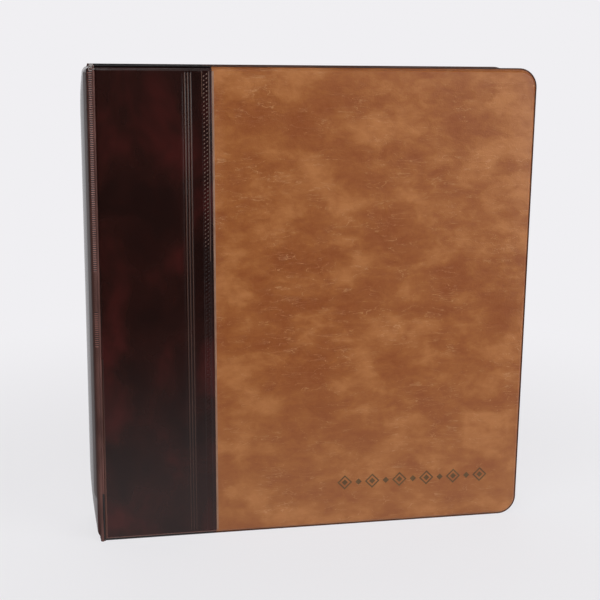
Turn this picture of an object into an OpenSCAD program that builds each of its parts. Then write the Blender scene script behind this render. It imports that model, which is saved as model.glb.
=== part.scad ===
// Ring binder photo album, closed and standing on its lower edges.
// X runs from the spine to the fore edge, Y from the front cover to the back cover, Z up.
// Sizes are drawn from the left edge of the front cover and its outer face, then centred on the base.

/* [Case] */
// Height of the covers and the spine
case_h = 298; // [294:1:340]
// Width of a cover from its hinge bead to the fore edge
cover_w = 277.8; // [274:0.1:300]
// Radius of the two fore-edge corners
corner_r = 12; // [6:1:20]
// Width of the flat welded rim round a cover
rim_w = 1.6; // [1:0.1:3]
// Radius of the padded shoulder inside the rim
shoulder_r = 1.6; // [1.2:0.1:2]

/* [Layers] */
// Thickness of the outer vinyl
skin_t = 0.5; // [0.4:0.1:0.7]
// Height of the dark vinyl over the tan vinyl
lap_step = 0.2; // [0.1:0.05:0.3]
// Thickness of the foam under the vinyl of a cover
foam_t = 0.9; // [0.6:0.1:1.2]
// Thickness of the cardboard
board_t = 1.7; // [1.4:0.1:2]
// Thickness of the inner vinyl
liner_t = 0.4; // [0.3:0.1:0.5]
// Free play round a board or a foam in its vinyl pocket
pocket_gap = 0.05; // [0.02:0.01:0.1]
// Gap between two metal pieces that are fixed together
seat_gap = 0.02; // [0.01:0.01:0.05]

/* [Dark strip] */
// Distance from the cover's left edge to the end of the dark vinyl
seam_x = 71.3; // [68:0.1:90]
// Left edge of the braided weld
weld_x = 64.3; // [62:0.1:66]
// Width of the braided weld
weld_w = 4.7; // [3:0.1:5]
// Depth of the braided weld
weld_depth = 0.2; // [0.1:0.05:0.25]
// Left edge of the tooled lines
tooling_x = 54.3; // [30:0.1:56]
// Number of raised lines in the tooling
line_count = 3; // [1:1:3]
// Distance from one tooled groove to the next
line_pitch = 2; // [1.6:0.1:2.4]
// Radius of the tool that presses a groove
groove_r = 0.7; // [0.5:0.1:0.8]
// Depth of a tooled groove
groove_depth = 0.25; // [0.15:0.05:0.3]
// Distance from the ends of the grooves to the top and the bottom of the cover
groove_end = 6; // [4:1:20]

/* [Hinges] */
// Width of the welded strip from the hinge axis to the padded panel
strip_w = 4.1; // [3.5:0.1:6]
// Thickness of the welded strip
strip_t = 0.7; // [0.5:0.1:0.8]
// Diameter of the rolled vinyl edge that turns at the spine
knuckle_d = 1; // [0.8:0.1:1.2]
// Depth of the hinge axis under the outer face of a cover
knuckle_y = 0.95; // [0.8:0.05:1.2]
// Running gap between a rolled edge and the spine
knuckle_gap = 0.08; // [0.05:0.01:0.1]
// Diameter of the raised bead beside the strip
bead_d = 1.2; // [0.8:0.1:1.4]
// Distance from the padded panel to the middle of the raised bead
bead_inset = 0.75; // [0.6:0.05:1]
// Radius of the strip's top and bottom corners
strip_corner_r = 1.5; // [0.5:0.1:2]

/* [Spine] */
// Distance from the hinge axis to the inner face of the spine
spine_in = 3.4; // [3.2:0.1:4]
// Crown of the padded spine over its edges, seen from above
crown = 3.5; // [1:0.1:5]
// Height over which the spine's padding thins at the bottom
taper_bottom = 37; // [20:1:60]
// Amount by which the padding thins at the bottom
taper_bottom_in = 3.1; // [1:0.1:4]
// Height over which the spine's padding thins at the top
taper_top = 24; // [15:1:60]
// Amount by which the padding thins at the top
taper_top_in = 1.5; // [1:0.1:4]
// Radius of the spine's bottom end
end_bottom_r = 6.4; // [5:0.1:8]
// Radius of the spine's top end
end_top_r = 4.4; // [4:0.1:8]

/* [Rings] */
// Inner diameter of a closed ring
ring_inner_d = 34; // [33:0.5:36]
// Diameter of the ring wire
wire_d = 2.8; // [2.4:0.1:3]
// Number of rings
ring_count = 3; // [2:1:3]
// Distance from ring to ring
ring_pitch = 108; // [80:1:108]
// Space from a closed ring to the inner face of a cover
ring_side_gap = 2.5; // [2.3:0.1:4]
// Distance of a ring's foot from the middle of the blades
foot_y = 7.8; // [7:0.1:8]
// Height of a ring's bend over the blade
foot_rise = 1.35; // [1.2:0.05:1.6]
// Diameter of the peg that goes through the blade
peg_d = 2.2; // [1.8:0.1:2.4]
// Diameter of the staked head under the blade
stake_d = 2.8; // [2.5:0.1:3]
// Height of the staked head
stake_t = 0.5; // [0.3:0.1:0.6]
// Gap between the two halves of a ring at the tip
tip_gap = 0.1; // [0.05:0.01:0.2]
// Diameter of the nib that locks the tips
nib_d = 1.2; // [0.9:0.1:1.4]
// Length of that nib
nib_l = 0.8; // [0.5:0.1:1]

/* [Blades and housing] */
// Thickness of a blade
blade_t = 0.9; // [0.7:0.1:1.2]
// Width of the housing
housing_w = 24.4; // [24:0.1:28]
// Length of the housing
housing_l = 272; // [250:1:278]
// Thickness of the housing's steel
housing_t = 0.8; // [0.6:0.1:1]
// Height of the housing's shoulder over the blades
shoulder_rise = 1.5; // [1.3:0.1:2.5]
// Height of the arched top over the shoulder
arch_rise = 2.6; // [2.2:0.1:4]
// Outer radius of the curled lips
curl_r = 1.2; // [1:0.1:1.3]
// Space under the blades
under_blade = 3.5; // [3.2:0.1:5]
// Running gap round the blades
blade_gap = 0.1; // [0.05:0.01:0.15]
// Gap between a ring wire and the sides of its notch
notch_gap = 0.7; // [0.4:0.1:1]
// Distance that a notch reaches inside a ring's foot
notch_in = 2.4; // [2:0.1:3]
// Depth of a notch below the top of the blades
notch_drop = 0.6; // [0.4:0.1:0.8]

/* [Levers] */
// Distance from the end of the housing to the lever pin
pin_inset = 5; // [4:0.5:8]
// Diameter of the lever pin
pin_d = 2; // [1.6:0.1:2.2]
// Running gap between a lever and its pin
pin_gap = 0.05; // [0.03:0.01:0.1]
// Diameter of the lever's hub
hub_d = 2.8; // [2.6:0.1:3]
// Length of the jaws, from the pin
jaw_l = 2.3; // [2:0.1:2.4]
// Width of the jaws
jaw_w = 3.2; // [2:0.1:3.4]
// Thickness of a jaw
jaw_t = 0.9; // [0.7:0.1:1.2]
// Gap between the lower jaw and the blades
jaw_gap = 0.4; // [0.35:0.05:0.5]
// Gap between the upper jaw and the blades
jaw_top_gap = 0.55; // [0.5:0.05:0.7]
// Length of the thumb tab, from the pin
tab_l = 11; // [9:0.5:12]
// Width of the thumb tab
tab_w = 14; // [10:0.5:15]
// Thickness of the thumb tab
tab_t = 1.2; // [0.9:0.1:1.4]
// Radius of the thumb tab's corners
tab_corner_r = 3; // [1:0.5:4]
// Lean of the thumb tab from the square
tab_lean = 50; // [45:1:60]

/* [Rivets] */
// Distance from the end of the housing to a mounting rivet
rivet_inset = 15; // [13:0.5:18]
// Diameter of a rivet's shank
rivet_d = 3.2; // [2.5:0.1:3.6]
// Diameter of the shouldered post under the arched top
post_d = 4.8; // [4:0.1:5.4]
// Diameter of a rivet's heads
rivet_head_d = 7; // [6:0.1:8]
// Thickness of a rivet's heads
rivet_head_t = 0.8; // [0.6:0.1:1]
// Gap between a post and the notch in the blades
post_gap = 0.8; // [0.5:0.1:1]

/* [Leaves] */
// Number of leaves
leaf_count = 12; // [4:2:12]
// Distance from leaf to leaf
leaf_pitch = 2; // [1.8:0.1:2]
// Thickness of a leaf's card
card_t = 1.2; // [0.8:0.1:1.3]
// Thickness of its clear film
film_t = 0.1; // [0.05:0.01:0.12]
// Width of a leaf
leaf_w = 235; // [200:1:240]
// Height of a leaf
leaf_h = 279; // [260:1:282]
// Radius of a leaf's corners
leaf_corner_r = 3; // [1:0.5:6]
// Diameter of the punched holes
hole_d = 8; // [7.8:0.1:9]
// Distance from the binding edge to the middle of a hole
hole_inset = 9; // [7:0.5:9.5]
// Distance from the wire to the middle of a hole, towards the fore edge
hole_out = 1; // [0.9:0.05:1.1]
// Distance by which a leaf hangs below the middle of its holes
leaf_drop = 1.4; // [0:0.1:1.4]
// Width of the bare binding margin
margin_w = 24; // [20:1:30]
// Distance from the films to the nearer of the two scored fold lines
score_inset = 2; // [1:0.5:4]
// Distance between the two scored fold lines in the margin
score_pitch = 3; // [2:0.5:5]
// Depth of a scored fold line
score_depth = 0.2; // [0.1:0.05:0.3]

/* [Hidden] */
$fn = 64;
dark = [0.17, 0.10, 0.09];
tan_brown = [0.59, 0.36, 0.23];
lining = [0.24, 0.15, 0.12];
cardboard = [0.62, 0.55, 0.44];
foam_white = [0.90, 0.88, 0.80];
nickel = [0.75, 0.76, 0.77];
page = [0.93, 0.91, 0.85];
clear = [0.90, 0.94, 0.96, 0.35];

// Depths under the outer face of the dark vinyl
foam_y = lap_step + skin_t;
board_y = foam_y + foam_t;
cover_t = board_y + board_t + liner_t;
rim_y = board_y + board_t / 2;
wall_back = rim_y + skin_t - 0.1;

// Places across the case
ring_r = ring_inner_d / 2 + wire_d / 2;
case_t = ring_inner_d + 2 * (wire_d + ring_side_gap + cover_t);
mid_y = case_t / 2;
mid_z = case_h / 2;
panel_x = 1.8; // the padded panel starts here, 4.1 from the hinge axis
join_x = cover_w - corner_r;
hinge_x = panel_x - strip_w;
spine_x = hinge_x + spine_in;
spine_edge_x = hinge_x - knuckle_d / 2 - 0.05;
spine_crown_x = spine_edge_x - crown;
spine_y = knuckle_y + knuckle_d / 2 - 0.05;
spine_board_x = spine_x - liner_t - board_t;
panel_corner_r = corner_r - rim_w;

// The ring mechanism, measured from the middle of the rings towards the spine
foot_x = -sqrt(ring_r * ring_r - foot_y * foot_y);
blade_top = foot_x - foot_rise;
blade_mid = blade_top - blade_t / 2;
blade_end_y = housing_w / 2 - housing_t - blade_gap;
pivot_y = blade_end_y - blade_t / 2;
base_x = blade_top - blade_t - under_blade;
ring_x = spine_x - base_x;
shoulder_x = blade_top + shoulder_rise;
arch_top = shoulder_x + arch_rise;
arch_r = (pow(housing_w / 2, 2) + pow(arch_rise, 2)) / (2 * arch_rise);
pin_z = housing_l / 2 - pin_inset;
blade_l = 2 * (pin_z - hub_d / 2 - 0.2);
window_z = pin_z - hub_d / 2 - 0.6;
window_w = tab_w + 4;
rivet_z = housing_l / 2 - rivet_inset;
hub_w = housing_w - 2 * housing_t - 1;
leaf_t = card_t + 2 * film_t;

// Centres the model on its base
base_shift_x = -(cover_w + spine_crown_x) / 2;

function leaf_name(i, piece) = str("leaf_", i < 10 ? "0" : "", i, "_", piece);
function ring_name(i, side) = str("ring_", i, "_", side, "_half");
function ring_z(i) = mid_z + (i - (ring_count + 1) / 2) * ring_pitch;
function leaf_offset(i) = (i - (leaf_count + 1) / 2) * leaf_pitch;
function wire_x(offset) = sqrt(ring_r * ring_r - offset * offset);

// Frames of reference

module on_base() {
    translate([base_shift_x, -mid_y, 0]) children();
}

module as_back_cover() {
    translate([0, case_t, 0]) mirror([0, 1, 0]) children();
}

module at_rings() {
    translate([ring_x, mid_y, 0]) children();
}

// Turns a drawing in X and Y, with depth as Y, into a slab along Z
module along_z(z0, z1) {
    translate([0, 0, z0]) linear_extrude(z1 - z0) children();
}

// Turns a drawing in Y and Z into a slab along X
module along_x(x0, x1) {
    translate([x1, 0, 0]) rotate([90, 0, 90]) mirror([0, 0, 1]) linear_extrude(x1 - x0) children();
}

// Turns a drawing in X and Z into a slab along Y
module along_y(y0, y1) {
    translate([0, y1, 0]) rotate([90, 0, 0]) linear_extrude(y1 - y0) children();
}

// Padded panels

// The outline of a panel, with round corners on the fore edge only
module panel_outline(x0, x1, z0, z1, r) {
    translate([x0, z0]) square([x1 - r - x0, z1 - z0]);
    translate([x0, z0 + r]) square([x1 - x0, z1 - z0 - 2 * r]);
    for (z = [z0 + r, z1 - r]) translate([x1 - r, z]) circle(r);
}

// A rectangle whose two corners on the low-y side are round
module round_faced(x0, x1, y0, y1, r_low, r_high) {
    r = max(r_low, r_high);
    translate([x0, y0 + r]) square([x1 - x0, y1 - y0 - r]);
    if (r > 0) translate([x0 + r_low, y0]) square([x1 - x0 - r_low - r_high, r]);
    if (r_low > 0) intersection() {
        translate([x0 + r_low, y0 + r_low]) circle(r_low);
        translate([x0 - 1, y0 - 1]) square([r_low + 1, r_low + 1]);
    }
    if (r_high > 0) intersection() {
        translate([x1 - r_high, y0 + r_high]) circle(r_high);
        translate([x1 - r_high, y0 - 1]) square([r_high + 1, r_high + 1]);
    }
}

// The straight part of a padded panel, round along its top, its bottom and, if asked, its hinge side
module panel_straight(x0, x1, z0, z1, y0, y1, r, round_hinge) {
    intersection() {
        along_x(x0, x1) rotate(90) mirror([0, 1]) round_faced(z0, z1, y0, y1, r, r);
        along_z(z0, z1) round_faced(x0, x1, y0, y1, round_hinge ? r : 0, 0);
    }
}

// The fore edge of a padded panel with its two round corners
module panel_fore(x1, z0, z1, y0, y1, r, rc) {
    along_z(z0 + rc, z1 - rc) round_faced(join_x, x1, y0, y1, 0, r);
    for (side = [0, 1])
        translate([join_x, 0, side ? z1 - rc : z0 + rc])
            rotate([90, side ? 0 : 90, 0])
                rotate_extrude(angle = 90) mirror([0, 1]) round_faced(0, rc, y0, y1, 0, r);
}

// A whole padded panel, drawn in from the case's outline by inset
module padded_panel(inset, y0, y1, r) {
    x1 = cover_w - rim_w - inset;
    z0 = rim_w + inset;
    z1 = case_h - rim_w - inset;
    rc = panel_corner_r - inset;
    panel_straight(panel_x + inset, join_x, z0, z1, y0, y1, r, true);
    panel_fore(x1, z0, z1, y0, y1, r, rc);
}

// The flat rim that is welded round a cover
module rim_plate(x0, x1, y0, y1) {
    intersection() {
        along_y(y0, y1) panel_outline(panel_x, cover_w, 0, case_h, corner_r);
        along_y(y0, y1) translate([x0, 0]) square([x1 - x0, case_h]);
    }
}

// The cover layers, drawn for the front cover

module cover_board() {
    inset = skin_t + pocket_gap;
    color(cardboard)
        along_y(board_y, board_y + board_t)
            panel_outline(panel_x + inset, cover_w - rim_w - inset, rim_w + inset,
                case_h - rim_w - inset, panel_corner_r - inset);
}

module cover_foam() {
    color(foam_white) padded_panel(skin_t + pocket_gap, foam_y, board_y, foam_t - 0.1);
}

module cover_pocket() {
    padded_panel(skin_t, foam_y, wall_back + 1, foam_t - 0.1);
}

// Tan vinyl with its tucked tongue under the dark vinyl
module cover_tan_skin() {
    x1 = cover_w - rim_w;
    z1 = case_h - rim_w;
    color(tan_brown)
        difference() {
            union() {
                panel_straight(seam_x, join_x, rim_w, z1, lap_step, wall_back,
                    shoulder_r - lap_step / 2, false);
                panel_fore(x1, rim_w, z1, lap_step, wall_back, shoulder_r - lap_step / 2, panel_corner_r);
                rim_plate(seam_x, cover_w, rim_y, wall_back);
                panel_straight(weld_x, seam_x + 1, rim_w + shoulder_r, case_h - rim_w - shoulder_r,
                    skin_t, foam_y, 0, false);
            }
            cover_pocket();
        }
}

module tooled_grooves() {
    for (i = [0 : line_count])
        translate([tooling_x + i * line_pitch, groove_depth - groove_r, groove_end])
            cylinder(r = groove_r, h = case_h - 2 * groove_end);
}

// The welded strip with the edge that turns at the spine and the bead beside the panel
module hinge_strip() {
    y0 = knuckle_y - strip_t / 2;
    along_y(y0, y0 + strip_t) {
        translate([hinge_x + strip_corner_r, 0])
            square([panel_x + skin_t - hinge_x - strip_corner_r, case_h]);
        translate([hinge_x, strip_corner_r]) square([strip_w, case_h - 2 * strip_corner_r]);
        for (z = [strip_corner_r, case_h - strip_corner_r])
            translate([hinge_x + strip_corner_r, z]) circle(strip_corner_r);
    }
    translate([hinge_x, knuckle_y, strip_corner_r])
        cylinder(d = knuckle_d, h = case_h - 2 * strip_corner_r);
    translate([panel_x - bead_inset, y0, strip_corner_r])
        cylinder(d = bead_d, h = case_h - 2 * strip_corner_r);
}

module cover_dark_skin() {
    color(dark)
        difference() {
            union() {
                panel_straight(panel_x, seam_x, rim_w, case_h - rim_w, 0, wall_back, shoulder_r, true);
                rim_plate(panel_x, seam_x, rim_y, wall_back);
                hinge_strip();
            }
            cover_pocket();
            panel_straight(weld_x, seam_x + 1, rim_w + shoulder_r, case_h - rim_w - shoulder_r,
                skin_t, foam_y + 0.01, 0, false);
            along_x(weld_x, weld_x + weld_w) translate([-1, rim_w + shoulder_r])
                square([1 + weld_depth, case_h - 2 * (rim_w + shoulder_r)]);
            tooled_grooves();
        }
}

module cover_liner() {
    raise = skin_t + pocket_gap - liner_t;
    color(lining)
        difference() {
            union() {
                rim_plate(panel_x, cover_w, wall_back, wall_back + liner_t);
                translate([0, cover_t + wall_back, 0]) mirror([0, 1, 0])
                    padded_panel(raise, wall_back, cover_t, liner_t);
            }
            along_y(wall_back - 1, board_y + board_t)
                panel_outline(panel_x + skin_t, cover_w - rim_w - skin_t, rim_w + skin_t,
                    case_h - rim_w - skin_t, panel_corner_r - skin_t);
        }
}

// The spine

// The spine seen from above: a shallow arc over straight sides
module spine_plan(inset) {
    half = mid_y - spine_y - inset;
    r = (pow(mid_y - spine_y, 2) + crown * crown) / (2 * crown) - inset;
    intersection() {
        translate([spine_crown_x - 1, mid_y - half]) square([spine_board_x - spine_crown_x + 1, 2 * half]);
        translate([spine_crown_x + inset + r, mid_y]) circle(r, $fn = 256);
    }
}

// The spine seen from the side: full in the middle, drawn in at the top and the bottom
module spine_side(inset) {
    low_r = (pow(taper_bottom, 2) + pow(taper_bottom_in, 2)) / (2 * taper_bottom_in);
    high_r = (pow(taper_top, 2) + pow(taper_top_in, 2)) / (2 * taper_top_in);
    low_end = [spine_crown_x + taper_bottom_in + end_bottom_r, rim_w + end_bottom_r];
    high_end = [spine_crown_x + taper_top_in + end_top_r, case_h - rim_w - end_top_r];
    low_a = end_angle(low_end[0], end_bottom_r - inset);
    high_a = end_angle(high_end[0], end_top_r - inset);
    low_turn = asin(taper_bottom / low_r);
    high_turn = asin(taper_top / high_r);
    polygon(concat(
        [[spine_board_x, low_end[1] + (end_bottom_r - inset) * sin(low_a)]],
        arc_points(low_end, end_bottom_r - inset, low_a, 180, 6),
        arc_points([spine_crown_x + low_r, low_end[1] + taper_bottom], low_r - inset,
            180 + low_turn * 0.9, 180, 9),
        arc_points([spine_crown_x + high_r, high_end[1] - taper_top], high_r - inset,
            180, 180 - high_turn * 0.9, 9),
        arc_points(high_end, end_top_r - inset, 180, 360 - high_a, 6),
        [[spine_board_x, high_end[1] - (end_top_r - inset) * sin(high_a)]]
    ));
}

function arc_points(c, r, a0, a1, n) =
    [for (k = [0 : n]) c + r * [cos(a0 + (a1 - a0) * k / n), sin(a0 + (a1 - a0) * k / n)]];

// The angle at which a spine end's arc reaches the board, or its foot if it ends before
function end_angle(centre_x, r) =
    let (reach = (spine_board_x - centre_x) / r) reach < 0 ? 360 - acos(max(reach, -1)) : 270;

module spine_pad(inset) {
    intersection() {
        along_z(rim_w, case_h - rim_w) spine_plan(inset);
        along_y(spine_y, case_t - spine_y) spine_side(inset);
    }
}

// A flat plate of the spine between two distances across it
module spine_plate(x0, x1, edge_y, edge_z) {
    translate([x0, edge_y, edge_z]) cube([x1 - x0, case_t - 2 * edge_y, case_h - 2 * edge_z]);
}

module rivet_places() {
    for (side = [-1, 1]) translate([ring_x, mid_y, mid_z + side * rivet_z]) children();
}

module knuckle_sockets() {
    for (y = [knuckle_y, case_t - knuckle_y])
        translate([hinge_x, y, -1]) cylinder(r = knuckle_d / 2 + knuckle_gap, h = case_h + 2);
}

module spine_skin() {
    color(dark)
        difference() {
            union() {
                spine_pad(0);
                spine_plate(spine_board_x - skin_t, spine_x - liner_t, spine_y, rim_w);
                spine_plate(spine_x - liner_t - skin_t, spine_x - liner_t, spine_y, 0);
            }
            spine_pad(skin_t);
            spine_plate(spine_board_x - 0.01, spine_x, spine_y + skin_t, rim_w + skin_t);
            knuckle_sockets();
        }
}

module spine_foam() {
    gap = skin_t + pocket_gap;
    color(foam_white)
        difference() {
            spine_pad(gap);
            rivet_places() translate([spine_board_x - ring_x - rivet_head_t - pocket_gap, 0, 0])
                rotate([0, 90, 0]) cylinder(d = rivet_head_d + 2 * pocket_gap, h = rivet_head_t + 1);
        }
}

module spine_board() {
    gap = skin_t + pocket_gap;
    color(cardboard)
        difference() {
            spine_plate(spine_board_x, spine_x - liner_t, spine_y + gap, rim_w + gap);
            rivet_places() translate([base_x - board_t - liner_t - 1, 0, 0])
                rotate([0, 90, 0]) cylinder(d = rivet_d + 2 * pocket_gap, h = board_t + 2);
        }
}

module spine_liner() {
    color(lining)
        difference() {
            spine_plate(spine_x - liner_t, spine_x, spine_y, 0);
            rivet_places() translate([base_x - liner_t - 1, 0, 0])
                rotate([0, 90, 0]) cylinder(d = rivet_d + 2 * pocket_gap, h = liner_t + 2);
        }
}

// The ring mechanism, drawn about the middle of the rings

// One side of the housing: arch, wall and curled lip
module housing_section() {
    half = housing_w / 2;
    curl_x = base_x + curl_r + seat_gap;
    lip_top = blade_top - blade_t - blade_gap;
    difference() {
        intersection() {
            translate([arch_top - arch_r, 0]) circle(arch_r, $fn = 256);
            translate([shoulder_x - 0.01, -half]) square([arch_rise + 1, housing_w]);
        }
        translate([arch_top - arch_r, 0]) circle(arch_r - housing_t, $fn = 256);
    }
    for (side = [-1, 1]) scale([1, side]) {
        translate([curl_x, half - housing_t]) square([shoulder_x - curl_x, housing_t]);
        translate([curl_x, half - 2 * curl_r]) square([lip_top - curl_x, housing_t]);
        difference() {
            translate([curl_x, half - curl_r]) circle(curl_r);
            translate([curl_x, half - curl_r]) circle(curl_r - housing_t);
            translate([curl_x, half - 2 * curl_r - 1]) square([2 * curl_r, 2 * curl_r + 2]);
        }
    }
}

module ring_notches() {
    w = wire_d + 2 * notch_gap;
    low = blade_top - notch_drop;
    for (i = [1 : ring_count]) for (side = [-1, 1])
        translate([low, side > 0 ? foot_y - notch_in : -housing_w / 2 - 1, ring_z(i) - w / 2])
            cube([arch_top - low + 1, housing_w / 2 + 1 - foot_y + notch_in, w]);
}

module ring_housing() {
    half_l = housing_l / 2;
    lip_l = blade_l / 2 - 1;
    color(nickel)
        at_rings() difference() {
            along_z(mid_z - half_l, mid_z + half_l) housing_section();
            ring_notches();
            for (side = [-1, 1]) translate([0, 0, mid_z]) scale([1, 1, side]) {
                translate([shoulder_x - 2, -window_w / 2, window_z])
                    cube([arch_rise + 4, window_w, half_l]);
                translate([base_x + curl_r, -(housing_w / 2 - 1.5 * housing_t), lip_l])
                    cube([under_blade, housing_w - 3 * housing_t, half_l]);
                translate([blade_mid, 0, pin_z]) rotate([90, 0, 0])
                    cylinder(d = pin_d + 2 * seat_gap, h = housing_w + 2, center = true);
                translate([base_x, 0, rivet_z]) rotate([0, 90, 0])
                    cylinder(d = rivet_d + 2 * pocket_gap, h = housing_w);
            }
        }
}

// A shouldered rivet that stands on the lining and holds the top of the housing
module mounting_rivets() {
    head_x = arch_top + seat_gap;
    board_back = base_x - liner_t - board_t;
    color(nickel)
        rivet_places() rotate([0, 90, 0]) {
            translate([0, 0, board_back - rivet_head_t]) cylinder(d = rivet_head_d, h = rivet_head_t);
            translate([0, 0, board_back - 0.01]) cylinder(d = rivet_d, h = head_x - board_back + 0.02);
            translate([0, 0, base_x]) cylinder(d = post_d, h = arch_top - housing_t - 0.1 - base_x);
            translate([0, 0, head_x]) cylinder(d = rivet_head_d, h = rivet_head_t * 0.6);
            translate([0, 0, head_x + rivet_head_t * 0.6 - 0.01])
                cylinder(d1 = rivet_head_d, d2 = rivet_head_d * 0.6, h = rivet_head_t * 0.4);
        }
}

// Steps a drawing of the back half to the side that is named
module on_side(side) {
    if (side == "front") mirror([0, 1, 0]) children();
    else children();
}

module blade(side) {
    color(nickel)
        at_rings() on_side(side) difference() {
            along_z(mid_z - blade_l / 2, mid_z + blade_l / 2) {
                translate([blade_top - blade_t, tip_gap / 2]) square([blade_t, pivot_y - tip_gap / 2]);
                translate([blade_mid, pivot_y]) circle(blade_t / 2);
            }
            for (end = [-1, 1]) translate([base_x, 0, mid_z + end * rivet_z]) rotate([0, 90, 0])
                cylinder(d = post_d + 2 * post_gap, h = housing_w);
            for (i = [1 : ring_count]) translate([base_x, foot_y, ring_z(i)]) rotate([0, 90, 0])
                cylinder(d = peg_d + 2 * seat_gap, h = housing_w);
        }
}

// One half of a ring: the arc, the bend, the peg through the blade and its staked head
module ring_half(i, side) {
    start = asin(tip_gap / 2 / ring_r);
    sweep = 180 - asin(foot_y / ring_r) - start;
    nib_x = sqrt(ring_r * ring_r - tip_gap * tip_gap / 4);
    color(nickel)
        at_rings() on_side(side) translate([0, 0, ring_z(i)]) difference() {
            union() {
                rotate(start) rotate_extrude(angle = sweep, $fn = 96)
                    translate([ring_r, 0]) circle(d = wire_d, $fn = 32);
                translate([foot_x, foot_y, 0]) sphere(d = wire_d);
                translate([blade_top, foot_y, 0]) rotate([0, 90, 0])
                    cylinder(d = wire_d, h = foot_x - blade_top);
                translate([blade_top - blade_t - 0.01, foot_y, 0]) rotate([0, 90, 0])
                    cylinder(d = peg_d, h = blade_t + 0.02);
                translate([blade_top - blade_t - stake_t, foot_y, 0]) rotate([0, 90, 0])
                    cylinder(d = stake_d, h = stake_t);
                if (side == "back") translate([nib_x, tip_gap / 2 + 0.01, 0]) rotate([90, 0, 0])
                    cylinder(d = nib_d, h = nib_l);
            }
            if (side == "front") translate([nib_x, nib_l + tip_gap + 0.1, 0]) rotate([90, 0, 0])
                cylinder(d = nib_d + 0.2, h = nib_l + tip_gap + 0.2);
        }
}

// The thumb lever, drawn about its pin at the top end of the housing
module lever_body() {
    jaw_x = blade_t / 2;
    rotate([90, 0, 0]) cylinder(d = hub_d, h = hub_w, center = true);
    translate([-jaw_x - jaw_gap - jaw_t, -jaw_w / 2, -jaw_l]) cube([jaw_t, jaw_w, jaw_l]);
    translate([jaw_x + jaw_top_gap, -jaw_w / 2, -jaw_l]) cube([jaw_t, jaw_w, jaw_l]);
    rotate([0, tab_lean - 90, 0]) {
        translate([0, 0, -tab_t / 2]) linear_extrude(tab_t) tab_outline();
        translate([tab_l - tab_t / 2, 0, 0]) rotate([90, 0, 0])
            cylinder(d = tab_t * 1.5, h = tab_w - 2 * tab_corner_r, center = true);
    }
}

module tab_outline() {
    r = tab_corner_r;
    translate([0, -tab_w / 2]) square([tab_l - r, tab_w]);
    translate([0, -tab_w / 2 + r]) square([tab_l, tab_w - 2 * r]);
    for (side = [-1, 1]) translate([tab_l - r, side * (tab_w / 2 - r)]) circle(r);
}

module at_pin(end) {
    at_rings() translate([blade_mid, 0, mid_z]) scale([1, 1, end]) translate([0, 0, pin_z]) children();
}

module lever(end) {
    color(nickel)
        at_pin(end) difference() {
            lever_body();
            rotate([90, 0, 0]) cylinder(d = pin_d + 2 * pin_gap, h = housing_w, center = true);
        }
}

module lever_pin(end) {
    color(nickel)
        at_pin(end) rotate([90, 0, 0]) {
            cylinder(d = pin_d, h = housing_w + 1, center = true);
            for (side = [-1, 1]) translate([0, 0, side * (housing_w / 2 + 0.32)])
                cylinder(d = pin_d * 1.4, h = 0.6, center = true);
        }
}

// The leaves

module leaf_holes(x) {
    for (i = [1 : ring_count])
        translate([x, 0, ring_z(i) - leaf_drop]) rotate([90, 0, 0])
            cylinder(d = hole_d, h = 4 * card_t, center = true);
}

module leaf_outline(x0, x1) {
    z0 = mid_z - leaf_drop - leaf_h / 2;
    r = leaf_corner_r;
    translate([x0, z0 + r]) square([x1 - x0, leaf_h - 2 * r]);
    translate([x0 + r, z0]) square([x1 - x0 - 2 * r, leaf_h]);
    for (x = [x0 + r, x1 - r]) for (z = [z0 + r, z0 + leaf_h - r]) translate([x, z]) circle(r);
}

module leaf_card(i) {
    hole_x = wire_x(leaf_offset(i)) + hole_out;
    edge_x = hole_x - hole_inset;
    color(page)
        at_rings() translate([0, leaf_offset(i), 0]) difference() {
            along_y(-card_t / 2, card_t / 2) leaf_outline(edge_x, edge_x + leaf_w);
            leaf_holes(hole_x);
            for (k = [0, 1]) for (side = [-1, 1])
                translate([edge_x + margin_w - score_inset - k * score_pitch, side * card_t / 2, mid_z])
                    cylinder(r = score_depth, h = leaf_h + 10, center = true);
        }
}

module leaf_films(i) {
    edge_x = wire_x(leaf_offset(i)) + hole_out - hole_inset;
    color(clear)
        at_rings() translate([0, leaf_offset(i), 0]) for (y = [-leaf_t / 2, card_t / 2])
            along_y(y, y + film_t) leaf_outline(edge_x + margin_w, edge_x + leaf_w);
}

on_base() cover_board();  // front_board
on_base() cover_foam();  // front_foam
on_base() cover_tan_skin();  // front_tan_skin
on_base() cover_dark_skin();  // front_dark_skin
on_base() cover_liner();  // front_liner
on_base() as_back_cover() cover_board();  // back_board
on_base() as_back_cover() cover_foam();  // back_foam
on_base() as_back_cover() cover_tan_skin();  // back_tan_skin
on_base() as_back_cover() cover_dark_skin();  // back_dark_skin
on_base() as_back_cover() cover_liner();  // back_liner
on_base() spine_board();
on_base() spine_foam();
on_base() spine_skin();
on_base() spine_liner();
on_base() ring_housing();
on_base() mounting_rivets();
on_base() blade("front");  // front_blade
on_base() blade("back");  // back_blade
for (i = [1 : ring_count]) for (side = ["front", "back"])
    on_base() ring_half(i, side);
on_base() lever(1);  // top_lever
on_base() lever(-1);  // bottom_lever
on_base() lever_pin(1);  // top_lever_pin
on_base() lever_pin(-1);  // bottom_lever_pin
for (i = [1 : leaf_count]) {
    on_base() leaf_card(i);
    on_base() leaf_films(i);
}
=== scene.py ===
import math

import bmesh
import bpy
from mathutils import Matrix, Vector


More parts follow.
